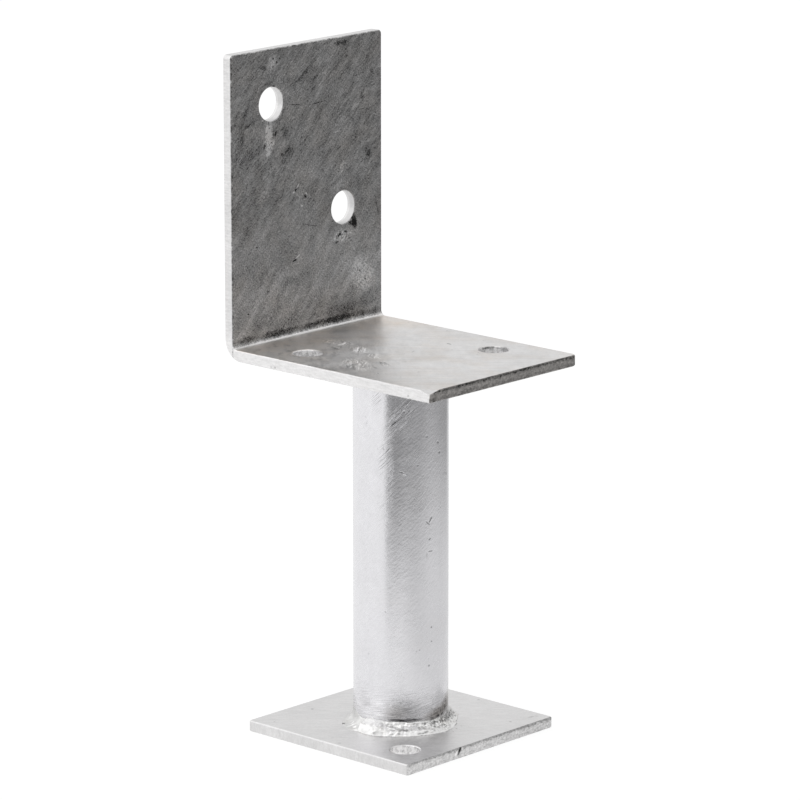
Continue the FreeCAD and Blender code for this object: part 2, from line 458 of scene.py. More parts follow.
class Tree:
    """A node tree while it is being built."""

    def __init__(self, owner):
        owner.use_nodes = True
        self.nodes = owner.node_tree.nodes
        self.links = owner.node_tree.links
        self.nodes.clear()

    def add(self, kind, settings=None, values=None, output=0):
        """Adds one node and gives one of its outputs. Its settings are made before its sockets are fed."""
        node = self.nodes.new(kind)
        for name, value in (settings or {}).items():
            setattr(node, name, value)
        for name, value in (values or {}).items():
            if isinstance(value, Signal):
                self.links.new(value.socket, node.inputs[name])
            else:
                node.inputs[name].default_value = value
        return Signal(self, node.outputs[output]) if len(node.outputs) else None

    def split(self, vector):
        return [self.add("ShaderNodeSeparateXYZ", None, {0: vector}, axis) for axis in range(3)]

    def join(self, x, y, z):
        return self.add("ShaderNodeCombineXYZ", None, {"X": x, "Y": y, "Z": z})

    def scaled(self, vector, factor):
        return self.add("ShaderNodeVectorMath", {"operation": "SCALE"}, {0: vector, "Scale": factor})

    def mix(self, factor, first, second):
        """Mixes two colours."""
        return self.add("ShaderNodeMix", {"data_type": "RGBA"}, {0: factor, 6: first, 7: second}, 2)

    def noise(self, place, size, detail=2.0, roughness=0.5):
        """Noise about 0, mostly within 0.25 of it, with lumps about this many millimetres across."""
        values = {"Vector": place, "Scale": 1 / size, "Detail": detail, "Roughness": roughness}
        return self.add("ShaderNodeTexNoise", None, values, "Fac") - 0.5

    def turned(self, place, size, turn):
        """The place in the axes of a shape with this turn, counted in its sizes."""
        values = {"Vector": place, "Rotation": turn, "Scale": size}
        return self.add("ShaderNodeMapping", {"vector_type": "TEXTURE"}, values)


class Zinc:
    """A hot-dip zinc finish: clouds, mottle and grain all over, and marks at chosen places."""

    def __init__(self, name, colour, roughness, stain_colour):
        self.material = bpy.data.materials.new(name)
        self.tree = Tree(self.material)
        self.colour = tuple(colour) + (1.0,)
        self.stain_colour = tuple(stain_colour) + (1.0,)
        self.place = self.tree.scaled(self.tree.add("ShaderNodeTexCoord", output="Object"), 1 / MM)
        self.x, self.y, self.z = self.tree.split(self.place)
        self.ragged = self.shaken(self.place, 1.6, 1.1)
        self.tone = 1.0
        self.height = 0.0
        self.roughness = roughness
        self.stain = 0.0
        self.turned_places = {}

    def shaken(self, place, size, amount):
        """The place moved about by noise, so that a mark laid on it has a ragged outline."""
        values = {"Vector": place, "Scale": 1 / size, "Detail": 2.0}
        jitter = self.tree.add("ShaderNodeTexNoise", None, values, "Color")
        values = {0: jitter, 1: (amount * 2,) * 3, 2: place}
        moved = self.tree.add("ShaderNodeVectorMath", {"operation": "MULTIPLY_ADD"}, values)
        return self.tree.add("ShaderNodeVectorMath", {"operation": "SUBTRACT"}, {0: moved, 1: (amount,) * 3})

    def patch(self, place, centre, size, turn, edge, strength):
        """Strength inside an ellipsoid with these half sizes, fading to 0 over its outer share."""
        key = (place.socket.node.name, turn)
        if key not in self.turned_places:
            self.turned_places[key] = self.tree.turned(place, (1, 1, 1), turn)
        middle = Euler(turn).to_matrix().inverted() @ Vector(centre)
        factor = [1 / each for each in size]
        offset = [-each / half for each, half in zip(middle, size)]
        values = {0: self.turned_places[key], 1: factor, 2: offset}
        inside = self.tree.add("ShaderNodeVectorMath", {"operation": "MULTIPLY_ADD"}, values)
        distance = self.tree.add("ShaderNodeVectorMath", {"operation": "LENGTH"}, {0: inside}, "Value")
        return distance.rise(1.0, 1.0 - edge, strength)

    def marks(self, place, rows, lay, edge=0.7):
        """The sum of the marks in a list, each at its strength."""
        total = 0.0
        for first, second, length, width, turn, strength in rows:
            centre, size, turns = lay(first, second, length, width, math.radians(turn))
            total += self.patch(place, centre, size, turns, edge, strength)
        return total

    def strokes(self, place, size, turn, threshold=None):
        """Noise drawn out into strokes of these sizes; with a threshold, only the boldest of them."""
        drawn = self.tree.turned(place, size, turn)
        values = {"Vector": drawn, "Scale": 1.0, "Detail": 2.0}
        stroke = self.tree.add("ShaderNodeTexNoise", None, values, "Fac")
        return stroke.rise(threshold, threshold + 0.12) if threshold else stroke - 0.5

    def pit(self, place, size, share, tone, height):
        """Small round pits in about this share of cells of this size, each with a tone and a height."""
        values = {"Vector": place, "Scale": 1 / size}
        near = self.tree.add("ShaderNodeTexVoronoi", None, values, "Distance").rise(0.28, 0.10)
        pitted = near * self.tree.noise(place, size * 3.1, 0.0).rise(0.30 - share, 0.36 - share)
        self.tone += pitted * tone
        self.height += pitted * height

    def cast(self, cloud, mottle, grain, grain_height):
        """The finish that all hot-dip zinc has: clouds, mottle and a fine grain."""
        clouds = self.tree.noise(self.place, CLOUD_SIZE, 3.0)
        blotches = self.tree.noise(self.place, MOTTLE_SIZE, 4.0, 0.6)
        fine = self.tree.noise(self.place, GRAIN_SIZE, 2.0, 0.6)
        cloudy = clouds * (cloud * NOISE_TO_ONE)
        mottled = blotches * (mottle * NOISE_TO_ONE)
        self.tone += cloudy + mottled + fine * (grain * NOISE_TO_ONE)
        self.height += fine * (grain_height * NOISE_TO_ONE) + blotches * 0.05
        self.roughness += blotches * 0.30 + fine * 0.16

    def build(self):
        """Joins the sums to the shader and gives the finished material."""
        tree = self.tree
        tint = tree.mix(self.stain, self.colour, self.stain_colour)
        colour = tree.scaled(tint, self.tone.most(DARKEST).least(BRIGHTEST))
        bump = tree.add("ShaderNodeBump", None, {"Strength": 1.0, "Distance": MM, "Height": self.height})
        shader = tree.add("ShaderNodeBsdfPrincipled", None, {
            "Base Color": colour, "Metallic": 1.0, "Normal": bump,
            "Roughness": self.roughness.most(GLOSSIEST).least(DULLEST)})
        tree.add("ShaderNodeOutputMaterial", None, {"Surface": shader})
        return self.material


def on_upright(y, z, length, width, turn):
    """Lays a mark on the face of the upright that meets the post."""
    return (UPRIGHT_FACE / MM, y, z), (MARK_REACH, length, width), (turn, 0, 0)


def on_seat(x, y, length, width, turn):
    """Lays a mark on the seat's upper side."""
    return (x, y, SEAT_TOP / MM), (length, width, MARK_REACH), (0, 0, turn)


def on_foot_plate(x, y, length, width, turn):
    """Lays a mark on the foot plate's upper side."""
    return (x, y, PLATE_TOP / MM), (length, width, MARK_REACH), (0, 0, turn)


def on_tube(angle, z, length, width, turn):
    """Lays a mark on the tube's unrolled side, whose first axis is the way round it."""
    return (math.radians(angle) * TUBE_RADIUS / MM, z, 0), (length, width, MARK_REACH), (0, 0, turn)


def unroll(finish):
    """The place on the tube's unrolled side: the way round it, then the height."""
    angle = finish.y.maths("ARCTAN2", finish.x)
    return finish.tree.join(angle * (TUBE_RADIUS / MM), finish.z, 0.0)


def flat_turn(degrees):
    """A turn about Z: the way of strokes on a seat, a plate or the unrolled tube."""
    return 0, 0, math.radians(degrees)


def upright_turn(degrees):
    """A turn about X: the way of strokes on the upright or on a sheared end."""
    return math.radians(degrees), 0, 0


def on_top_of(finish, level):
    """1 on the upper side of a plate whose top is at this level, its blunt rim left out."""
    return finish.z.rise(level - 0.25, level - 0.10)


def at_end(finish, end, height=1.0):
    """This height on the sheared end of a bar that stops at this X, its blunt rim left out."""
    return finish.x.rise(end - 0.42, end - 0.30, height)


def in_plate_hole(finish, hole, plate_top):
    """1 on the wall and the blunt rim of a hole that goes down through a plate."""
    centre = hole + (plate_top - PLATE_TOP / MM / 2,)
    size = (SCREW_RIM_RADIUS, SCREW_RIM_RADIUS, HOLE_REACH)
    return finish.patch(finish.place, centre, size, NO_TURN, HOLE_EDGE, 1.0)


def dress(node_name, material):
    """Gives a finish to a piece of the frame."""
    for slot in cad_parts[node_name].material_slots:
        slot.material = material


def sheared_end(finish, end, top, tone, streak):
    """The torn grain, the dark upper line and the broken lower line that the shears leave across the bar."""
    on_end = at_end(finish, end)
    torn = finish.strokes(finish.place, (1.0, 2.0, 0.5), NO_TURN)
    grain = finish.tree.noise(finish.place, 0.8, 2.0, 0.7)
    depth = top - finish.tree.split(finish.ragged)[2]
    upper = (depth - 0.35).rise(0.75, 0.10)
    middle = abs(depth - 1.9).rise(0.9, 0.2)
    lower = (depth - 3.9).rise(-0.45, -0.1)
    broken = finish.tree.noise(finish.place, 3.0, 1.0).rise(-0.10, 0.10)
    lines = upper * -0.36 + middle * streak + lower * broken * -0.25
    finish.tone += on_end * (torn * 0.6 + grain * 0.9 + lines + tone)
    finish.height += on_end * (torn * 0.10 + grain * 0.12)


def brush_upright(finish, upright):
    """Brushed and crossed strokes on the upright's face, boldest at its top, with a wide veil and grit."""
    brushed = finish.strokes(finish.ragged, (3.0, 4.5, 0.40), upright_turn(BRUSHED_WAY))
    crossed = finish.strokes(finish.ragged, (3.0, 3.0, 0.45), upright_turn(CROSSED_WAY))
    veil = finish.strokes(finish.ragged, (9.0, 14.0, 4.0), upright_turn(VEILED_WAY))
    grit = finish.tree.noise(finish.place, 0.5, 1.0, 0.7)
    boldness = finish.z.rise(*BRUSHING_GROWS, 0.9) + 0.9
    finish.tone += upright * (brushed * boldness + crossed * 0.9 + veil * 1.1 + grit * 1.9)
    finish.height += upright * (brushed * 0.12 + grit * 0.08)


def roll_edges(finish, beyond):
    """The bar's rolled sides, the flecked rim round the upright and the walls of the bolt holes."""
    face = UPRIGHT_FACE / MM
    side = (abs(finish.y) - BAR_SIDE / MM).rise(-0.32, -0.12)
    rolled = finish.strokes(finish.place, (3.0, 2.0, 0.7), NO_TURN)
    finish.tone += side * (rolled * 0.4 + finish.z.rise(*SIDES_BRIGHTEN, 0.09))
    rim = abs(finish.x - face + 0.17).rise(0.34, 0.22) * beyond.rise(-0.50, -0.30)
    finish.tone += rim * (finish.tree.noise(finish.place, 1.5, 2.0) * 1.6 - 0.30)
    wall = (HOLE_REACH, BOLT_RIM_RADIUS, BOLT_RIM_RADIUS)
    for hole in BOLT_HOLES:
        finish.tone += finish.patch(finish.place, (face,) + hole, wall, NO_TURN, HOLE_EDGE, -0.12)


def mark_upright(finish, upright, chipped):
    """Smears, nicks, scratches and speckled patches on the upright's face."""
    smears = finish.marks(finish.ragged, UPRIGHT_SMEARS, on_upright, 0.9)
    nicks = finish.marks(chipped, UPRIGHT_NICKS, on_upright, 0.6)
    scratches = finish.marks(chipped, UPRIGHT_SCRATCHES, on_upright, 0.7)
    speckle = finish.tree.noise(finish.place, 0.8, 2.0, 0.7) * 6.0 + 0.5
    speckled = finish.marks(finish.ragged, SPECKLED, on_upright, 0.8) * speckle
    finish.tone += upright * (smears * 2.0 + nicks * 2.2 + scratches * 2.0 + speckled * 1.3)


def shade_upright(finish, upright):
    """Painted shade on the whole upright, deepest just above the bend, and a painted highlight on the bend.
    """
    shade = finish.marks(finish.ragged, BEND_SHADE, on_upright, 0.75)
    forward, above = BEND_HIGHLIGHT_PLACE
    highlight_place = (UPRIGHT_FACE / MM + forward, 0, SEAT_TOP / MM + above)
    # A painted highlight along the bend, added to the tone
    bend_highlight = finish.patch(finish.place, highlight_place, BEND_HIGHLIGHT_SIZE, NO_TURN, 0.6, 0.60)
    # Painted shade: deepest just above the bend, and over the whole upright, more so higher up
    finish.tone += upright * shade
    painted_shade = finish.z.rise(*UPRIGHT_SHADE_DEEPENS, -0.12) - 0.295
    finish.tone = (upright * painted_shade + 1.0) * finish.tone + bend_highlight


def crust_seat(finish, seat, upright, chipped):
    """Dross, nicks, streaks and scale on the seat, its greyer near side, and the bracket's stain."""
    crust = finish.strokes(finish.place, (4.6, 2.0, 4.0), flat_turn(CRUSTED_WAY))
    dross = finish.marks(finish.ragged, SEAT_DROSS, on_seat, 0.6)
    finish.tone += seat * dross * (crust * 7.0 + 0.9)
    finish.height += seat * abs(dross) * (crust * 2.4 + 0.4)
    nicks = finish.marks(chipped, SEAT_NICKS, on_seat, 0.6)
    streaks = finish.strokes(finish.place, (9.0, 0.8, 4.0), flat_turn(ROLLED_WAY))
    scale = finish.strokes(finish.place, (5.0, 2.2, 4.0), flat_turn(CRUSTED_WAY))
    ragged_y = finish.tree.split(finish.ragged)[1]
    near_side = ragged_y.rise(*SEAT_SCALES_IN_Y) * finish.x.rise(*SEAT_SCALES_IN_X)
    finish.tone += seat * (nicks * 1.5 + streaks * 0.24 + scale * (near_side * 1.3 + 0.2))
    finish.height += seat * streaks * 0.03
    warm = finish.tree.noise(finish.place, 11.0, 3.0)
    near_bend = finish.x.rise(*SEAT_GREYS_IN_X)
    finish.tone += seat * (near_bend * 0.14 + near_side * 0.20)
    finish.stain += seat * (near_bend * 0.35 + warm * 1.1 + 0.10)
    finish.stain += upright * (warm * 0.8 + 0.06) + at_end(finish, SEAT_END / MM, 0.3)


def fleck_screw_holes(finish):
    """Flecked zinc on the walls of the screw holes, and a shade under the rim of one."""
    in_holes = sum(in_plate_hole(finish, hole, SEAT_TOP / MM) for hole in SCREW_HOLES)
    rim_shade = finish.patch(finish.place, *RIM_SHADE, NO_TURN, 0.6, -0.5)
    flecks = finish.tree.noise(finish.place, 1.5, 3.0, 0.7)
    finish.tone += in_holes * (flecks * 2.4 + 0.04 + rim_shade)


class POSTBASE_OT_finish_bracket(bpy.types.Operator):
    """Gives the folded bracket its mottled zinc, with painted shade on the upright, and the marks of its
    making
    """

    bl_idname = "post_base.finish_bracket"
    bl_label = "Finish the bracket"

    def execute(self, context):
        zinc = context.scene.post_base.zinc
        finish = Zinc("bracket_finish", zinc.bar_colour, zinc.bar_roughness, zinc.stain_colour)
        finish.cast(cloud=0.05, mottle=0.05, grain=0.06, grain_height=0.012)
        face = UPRIGHT_FACE / MM
        # How far outside the upright's outline a place lies, below 0 inside it
        beyond = (abs(finish.y) - BAR_SIDE / MM).most(finish.z - UPRIGHT_TOP / MM)
        near_face = finish.x.rise(face - 0.32, face - 0.15) * finish.x.rise(face + 1.3, face + 0.3)
        upright = near_face * beyond.rise(-0.05, -0.30)
        seat = on_top_of(finish, SEAT_TOP / MM) * finish.x.rise(face + 0.5, face + 2.2)
        brush_upright(finish, upright)
        roll_edges(finish, beyond)
        chipped = finish.shaken(finish.place, *CHIPPED)
        mark_upright(finish, upright, chipped)
        shade_upright(finish, upright)
        crust_seat(finish, seat, upright, chipped)
        fleck_screw_holes(finish)
        finish.pit(finish.place, 2.2, 0.12, -0.30, -0.10)
        sheared_end(finish, SEAT_END / MM, SEAT_TOP / MM, -0.42, 0.14)
        dress("bracket", finish.build())
        return {"FINISHED"}


def nick_front_edge(finish):
    """A slanted gash with a bright lip across the foot plate's sheared end."""
    slant = upright_turn(GASHED_WAY)
    end = PLATE_SIDE / MM
    gash = finish.patch(finish.place, (end, -11.3, 2.7), (1.0, 0.75, 1.9), slant, 0.5, -0.75)
    lip = finish.patch(finish.place, (end, -12.9, 2.2), (1.0, 0.65, 1.8), slant, 0.6, 0.40)
    finish.tone += gash + lip
    finish.height += gash * 0.6


def fleck_anchor_hole(finish):
    """Flecked zinc on the wall of the front anchor hole, shaded at its left."""
    flecks = finish.tree.noise(finish.place, 1.2, 2.0, 0.6)
    in_hole = in_plate_hole(finish, FRONT_ANCHOR_HOLE, PLATE_TOP / MM)
    left_shade = finish.patch(finish.place, *LEFT_SHADE, NO_TURN, 0.7, -0.45)
    finish.tone += in_hole * (flecks * 2.0 + 0.14 + left_shade)


class POSTBASE_OT_finish_foot_plate(bpy.types.Operator):
    """Gives the foot plate its lighter zinc, with a shear line and nicks on its edges"""

    bl_idname = "post_base.finish_foot_plate"
    bl_label = "Finish the foot plate"

    def execute(self, context):
        zinc = context.scene.post_base.zinc
        finish = Zinc("foot_plate_finish", zinc.bar_colour, zinc.bar_roughness, zinc.stain_colour)
        finish.cast(cloud=0.04, mottle=0.04, grain=0.05, grain_height=0.010)
        streaks = finish.strokes(finish.ragged, (8.0, 0.6, 4.0), flat_turn(ROLLED_WAY))
        nicks = finish.marks(finish.shaken(finish.place, *CHIPPED), PLATE_NICKS, on_foot_plate, 0.6)
        finish.tone += streaks * 0.30 + on_top_of(finish, PLATE_TOP / MM) * nicks
        finish.height += streaks * 0.04
        sheared_end(finish, PLATE_SIDE / MM, PLATE_TOP / MM, -0.08, 0.06)
        nick_front_edge(finish)
        fleck_anchor_hole(finish)
        finish.pit(finish.place, 3.2, 0.10, -0.18, -0.06)
        dress("base_plate", finish.build())
        return {"FINISHED"}


def grind_tube(finish, unrolled):
    """Scores and bright ridges where the tube was ground near the seat, and a faint peel all over."""
    ground = finish.marks(unrolled, TUBE_GRINDING, on_tube, 0.7)
    scores = finish.strokes(unrolled, (8.0, 0.24, 1.0), flat_turn(GROUND_WAY), 0.52)
    ridges = finish.strokes(unrolled, (7.0, 0.22, 1.0), flat_turn(RIDGED_WAY), 0.57)
    peel = finish.strokes(unrolled, (2.6, 0.8, 1.0), flat_turn(GROUND_WAY))
    finish.tone += ground * (scores * -0.75 + ridges * 0.14) + peel * 0.13
    finish.height += ground * (ridges - scores) * 0.04 + peel * 0.035


def burn_tube_foot(finish, unrolled):
    """Strokes round the tube's foot, the zinc that the weld burnt, and a painted shadow line above the weld.
    """
    by_foot = finish.z.rise(*FOOT_BRUSHING)
    round_strokes = finish.strokes(unrolled, (5.5, 0.26, 1.0), flat_turn(ROUND_WAY))
    finish.tone += by_foot * round_strokes * 1.1
    finish.height += by_foot * round_strokes * 0.10
    burnt = finish.marks(finish.shaken(unrolled, 1.4, 0.8), TUBE_BURNT, on_tube, 0.9)
    # A painted shadow line just above the weld's top edge
    shadow_line = finish.marks(finish.shaken(unrolled, 1.2, 0.35), TUBE_WELD_SHADOW_LINE, on_tube, 0.6)
    smoky = finish.tree.noise(finish.place, 1.2, 2.0, 0.7)
    finish.tone += burnt * (smoky * 1.2 - 0.48) + shadow_line * -0.56 + by_foot * -0.05
    finish.stain += burnt * 0.5 + finish.tree.noise(finish.place, 16.0, 2.0) * 0.15


class POSTBASE_OT_finish_tube(bpy.types.Operator):
    """Gives the tube its smoother zinc, ground near the seat and brushed above the foot weld"""

    bl_idname = "post_base.finish_tube"
    bl_label = "Finish the tube"

    def execute(self, context):
        zinc = context.scene.post_base.zinc
        finish = Zinc("tube_finish", zinc.tube_colour, zinc.tube_roughness, zinc.stain_colour)
        finish.cast(cloud=0.03, mottle=0.035, grain=0.03, grain_height=0.006)
        unrolled = unroll(finish)
        grind_tube(finish, unrolled)
        burn_tube_foot(finish, unrolled)
        # Patches low on the tube, and tall bands of painted reflection down its side
        finish.tone += finish.marks(unrolled, TUBE_PATCHES_AND_REFLECTIONS, on_tube, 0.9)
        nicks = finish.marks(unrolled, TUBE_NICKS, on_tube, 0.6)
        finish.tone += nicks
        finish.height += nicks * 0.2
        finish.pit(finish.place, 2.4, 0.12, -0.14, -0.05)
        dress("tube", finish.build())
        return {"FINISHED"}


def weld_finish(zinc):
    """The bright crust that zinc makes over a weld, shared by the beads and the spatter."""
    name = "weld_finish"
    if name in bpy.data.materials:
        return bpy.data.materials[name]
    finish = Zinc(name, zinc.weld_colour, zinc.weld_roughness, zinc.stain_colour)
    finish.cast(cloud=0.02, mottle=0.05, grain=0.06, grain_height=0.02)
    unrolled = unroll(finish)
    pores = finish.marks(finish.shaken(unrolled, 0.9, 0.3), WELD_PORES, on_tube, 0.6)
    flecks = finish.tree.noise(finish.place, 0.7, 2.0, 0.7) * 7.0 + 0.4
    soot = finish.marks(unrolled, WELD_SOOT, on_tube, 0.8) * flecks
    # Painted shade on the weld's face at the left
    weld_shade = finish.marks(unrolled, WELD_SHADE, on_tube, 0.2)
    # Painted light on the weld's middle
    painted_light = finish.marks(unrolled, WELD_PAINTED_LIGHT, on_tube, 0.6)
    finish.tone += painted_light + pores * 0.55 + soot + weld_shade
    finish.pit(finish.ragged, 1.5, 0.16, -0.20, -0.22)
    finish.stain += finish.tree.noise(finish.place, 5.0, 3.0) * 0.8
    return finish.build()


# The two welds as they were laid: angle in degrees, reach and rise in millimetres, depth of the groove,
# how much the face swells (or sinks, below 0) and how lumpy it is
FOOT_STATIONS = (
    (-167, 2.4, 3.4, 0.0, -0.20, 0.6), (-150, 2.6, 5.0, 0.0, -0.30, 0.5), (-137, 3.1, 6.2, 0.0, -0.30, 0.4),
    (-125, 4.5, 5.3, 0.0, -0.32, 0.4), (-115, 5.4, 4.6, 0.0, -0.30, 0.3), (-107, 5.9, 4.0, 0.0, -0.25, 0.3),
    (-101, 5.6, 3.5, 0.0, -0.20, 0.6), (-95, 5.1, 3.6, 0.0, -0.10, 0.5), (-91, 5.1, 4.1, 0.3, 0.22, 0.4),
    (-82, 5.9, 4.3, 0.6, 0.24, 0.5), (-72, 6.2, 4.3, 0.6, 0.16, 0.7), (-62, 5.6, 4.1, 0.9, 0.06, 1.0),
    (-47, 5.1, 4.1, 1.0, 0.05, 1.0), (-32, 5.2, 3.9, 1.0, 0.05, 1.0), (-17, 5.2, 3.9, 0.8, 0.02, 1.1),
    (-2, 5.5, 3.6, 0.4, -0.10, 1.2), (10, 4.9, 3.6, 0.2, -0.22, 1.1), (23, 3.9, 4.0, 0.0, -0.25, 0.8),
    (34, 3.2, 4.6, 0.0, -0.25, 0.6), (46, 3.5, 5.0, 0.0, -0.20, 0.6), (60, 4.3, 5.1, 0.2, -0.10, 0.7),
    (80, 4.6, 4.9, 0.3, 0.00, 1.0), (103, 4.4, 4.3, 0.4, 0.10, 1.0), (133, 4.0, 3.8, 0.3, 0.10, 1.0),
    (163, 3.2, 3.2, 0.1, 0.00, 0.8), (180, 2.6, 3.0, 0.0, -0.10, 0.7),
)
SEAT_STATIONS = (
    (-170, 4.2, 3.8, 0.3, 0.12, 1.0), (-140, 3.7, 4.2, 0.2, 0.10, 1.0), (-105, 4.3, 3.9, 0.4, 0.14, 1.0),
    (-70, 3.9, 4.2, 0.2, 0.12, 1.0), (-40, 4.3, 4.1, 0.3, 0.10, 1.0), (-10, 4.0, 3.7, 0.4, 0.14, 1.0),
    (25, 3.7, 3.9, 0.2, 0.10, 1.0), (60, 4.3, 4.2, 0.3, 0.12, 1.0), (95, 4.0, 4.2, 0.3, 0.12, 1.0),
    (130, 3.7, 4.0, 0.2, 0.10, 1.0), (160, 4.1, 4.2, 0.3, 0.12, 1.0),
)
# Ridges and grooves that run round a bead: share of the way up its face, width as a share, height
BEAD_FORM = ((0.92, 0.06, 0.7), (0.72, 0.13, -0.8), (0.28, 0.20, 0.8))
# Lumps on a bead's face, from broad to fine: size in millimetres, weight
LUMPS = ((6.0, 0.7), (2.6, 1.0), (1.3, 0.8), (0.6, 0.45))
# Share of the lumps' height that a bead's two feet keep, and how fast its face gains the whole of it
FOOT_LIFT = 0.7
LIFT_GAIN = 6
# Where in the noise each bead's lumps are taken from
FOOT_SEED = 3.7
SEAT_SEED = 8.1
# Steps along a bead's section, and distances that count as none, in metres and in millimetres
SECTION_STEPS = 26
MERGE_DISTANCE = 1e-7
TINY = 0.001


def laid_at(angle, stations):
    """What a weld's stations say at this angle, blended between the two beside it."""
    degrees = math.degrees(angle)
    rows = [(stations[-1][0] - 360,) + stations[-1][1:]] + list(stations)
    rows.append((stations[0][0] + 360,) + stations[0][1:])
    for first, second in zip(rows, rows[1:]):
        if first[0] <= degrees <= second[0]:
            share = (degrees - first[0]) / (second[0] - first[0])
            share = share * share * (3 - 2 * share)
            return [start + (end - start) * share for start, end in zip(first[1:], second[1:])]
    raise ValueError("no station beside this angle")


def bead_mesh(level, away, stations, weld, seed):
    """A ring of weld in the corner of the tube and a plate's face, spun from one section and then worked."""
    mesh = bmesh.new()
    corners = [Vector((TUBE_RADIUS, 0, level))]
    for step in range(SECTION_STEPS + 1):
        share = step / SECTION_STEPS
        corners.append(Vector((TUBE_RADIUS + (1 - share) * MM, 0, level + away * share * MM)))
    section = [mesh.verts.new(corner) for corner in corners]
    edges = [mesh.edges.new((first, second)) for first, second in zip(section, section[1:] + section[:1])]
    bmesh.ops.spin(
        mesh, geom=edges + section, cent=(0, 0, 0), axis=(0, 0, 1), angle=math.tau,
        steps=weld.turns, use_merge=True, use_normal_flip=False, use_duplicate=False)
    bmesh.ops.remove_doubles(mesh, verts=mesh.verts, dist=MERGE_DISTANCE)
    for vertex in mesh.verts:
        work_point(vertex, level, away, stations, weld.lump_height, seed)
    bmesh.ops.recalc_face_normals(mesh, faces=mesh.faces)
    return mesh


def work_point(vertex, level, away, stations, lump_height, seed):
    """Moves a point of the plain ring to its place on the weld, with lumps, a groove, a rim and a crest."""
    place = vertex.co
    outward = (math.hypot(place.x, place.y) - TUBE_RADIUS) / MM
    upward = away * (place.z - level) / MM
    if outward < TINY and upward < TINY:
        return
    angle = math.atan2(place.y, place.x)
    reach, rise, groove, swell, lumpy = laid_at(angle, stations)
    share = min(max(upward, 0.0), 1.0)
    bulge = swell * math.sin(math.pi * share) * min(reach, rise)
    around = Vector((math.cos(angle), math.sin(angle), 0))
    across = around * (TUBE_RADIUS / MM + reach * (1 - share) + bulge)
    point = across + Vector((0, 0, level / MM + away * (rise * share + bulge)))
    rough = sum(weight * noise.noise(point / size + Vector((0, 0, seed))) for size, weight in LUMPS)
    form = sum(height * math.exp(-((share - at) / wide) ** 2) for at, wide, height in BEAD_FORM)
    lift = lump_height / MM * (lumpy * rough + groove * form)
    if upward < TINY:
        push = around * (lift * FOOT_LIFT)
    elif outward < TINY:
        push = Vector((0, 0, away)) * (lift * FOOT_LIFT)
    else:
        gained = min(1.0, LIFT_GAIN * share, LIFT_GAIN * (1 - share))
        push = (around + Vector((0, 0, away))).normalized() * (lift * gained)
    vertex.co = (point + push) * MM


def show(name, mesh, material, stands_for=None):
    """Makes an object of a worked mesh, riding on the part."""
    data = bpy.data.meshes.new(name)
    for face in mesh.faces:
        face.smooth = True
    mesh.to_mesh(data)
    mesh.free()
    piece = bpy.data.objects.new(name, data)
    bpy.context.scene.collection.objects.link(piece)
    data.materials.append(material)
    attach(piece, BODY)
    if stands_for:
        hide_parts(stands_for)


class POSTBASE_OT_lay_foot_weld(bpy.types.Operator):
    """Lays the uneven ring weld round the tube's foot"""

    bl_idname = "post_base.lay_foot_weld"
    bl_label = "Lay the foot weld"

    def execute(self, context):
        settings = context.scene.post_base
        mesh = bead_mesh(PLATE_TOP, 1, FOOT_STATIONS, settings.weld, FOOT_SEED)
        show("foot_bead", mesh, weld_finish(settings.zinc), "foot_weld")
        return {"FINISHED"}


class POSTBASE_OT_lay_seat_weld(bpy.types.Operator):
    """Lays the ring weld round the tube's top, under the seat"""

    bl_idname = "post_base.lay_seat_weld"
    bl_label = "Lay the seat weld"

    def execute(self, context):
        settings = context.scene.post_base
        mesh = bead_mesh(SEAT_UNDERSIDE, -1, SEAT_STATIONS, settings.weld, SEAT_SEED)
        show("seat_bead", mesh, weld_finish(settings.zinc), "seat_weld")
        return {"FINISHED"}


# Specks of spatter beside the foot weld: angle in degrees, distance from the axis and half size, both
# in millimetres
SPATTER = (
    (12.0, 22.8, 0.35),
    (20.0, 23.4, 0.30),
    (3.0, 24.0, 0.30),
    (74.0, 24.8, 0.35),
    (150.0, 24.4, 0.35),
)
# How far a speck strays from round, how many of the noise's lumps a metre holds, and its height as a share
SPECK_BUMP = 0.35
SPECK_LUMPS = 1600
SPECK_FLATNESS = 0.7


class POSTBASE_OT_add_spatter(bpy.types.Operator):
    """Scatters a few small beads of spatter on the foot plate beside the weld"""

    bl_idname = "post_base.add_spatter"
    bl_label = "Add the spatter"

    def execute(self, context):
        mesh = bmesh.new()
        for number, (angle, distance, size) in enumerate(SPATTER):
            turn = math.radians(angle)
            middle = Vector((math.cos(turn) * distance, math.sin(turn) * distance, PLATE_TOP / MM)) * MM
            made = bmesh.ops.create_icosphere(mesh, subdivisions=3, radius=size * MM)
            for vertex in made["verts"]:
                bumpy = 1 + SPECK_BUMP * noise.noise(vertex.co * SPECK_LUMPS + Vector((number, 0, 0)))
                vertex.co = vertex.co * bumpy
                vertex.co.z *= SPECK_FLATNESS
            bmesh.ops.translate(mesh, verts=made["verts"], vec=middle)
        show("spatter", mesh, weld_finish(context.scene.post_base.zinc))
        return {"FINISHED"}


# The room as the metal shows it. Each card stands in front of those before it: tone, direction in degrees
# from +X towards +Y, half width and softness in degrees. The last value is its light on dull surfaces.
DARK_ROOM = 0.16
CARDS = (
    (0.21, 47, 60, 30),
    (0.92, 148, 42, 14),
    (0.95, -141, 58, 2.5),
)
CEILING_TONE = 0.85
CEILING_RISES = (0.18, 0.60)
ROOM_LIGHT = 0.6

# The floor: how much light its paper sends back, how bright it is of itself, and the sheet that the metal
# shows of it, in metres: its tone, its middle, which way is the camera's right and how much it dims there
PAPER_TONE = 0.22
PAPER_GLOW = 0.87
SHEET_TONE = 0.95
SHEET_MIDDLE = (0.05, 0.055)
RIGHTWARD = (0.73, 0.68)
SHEET_DIMS = (-0.03, 0.12, 0.22)
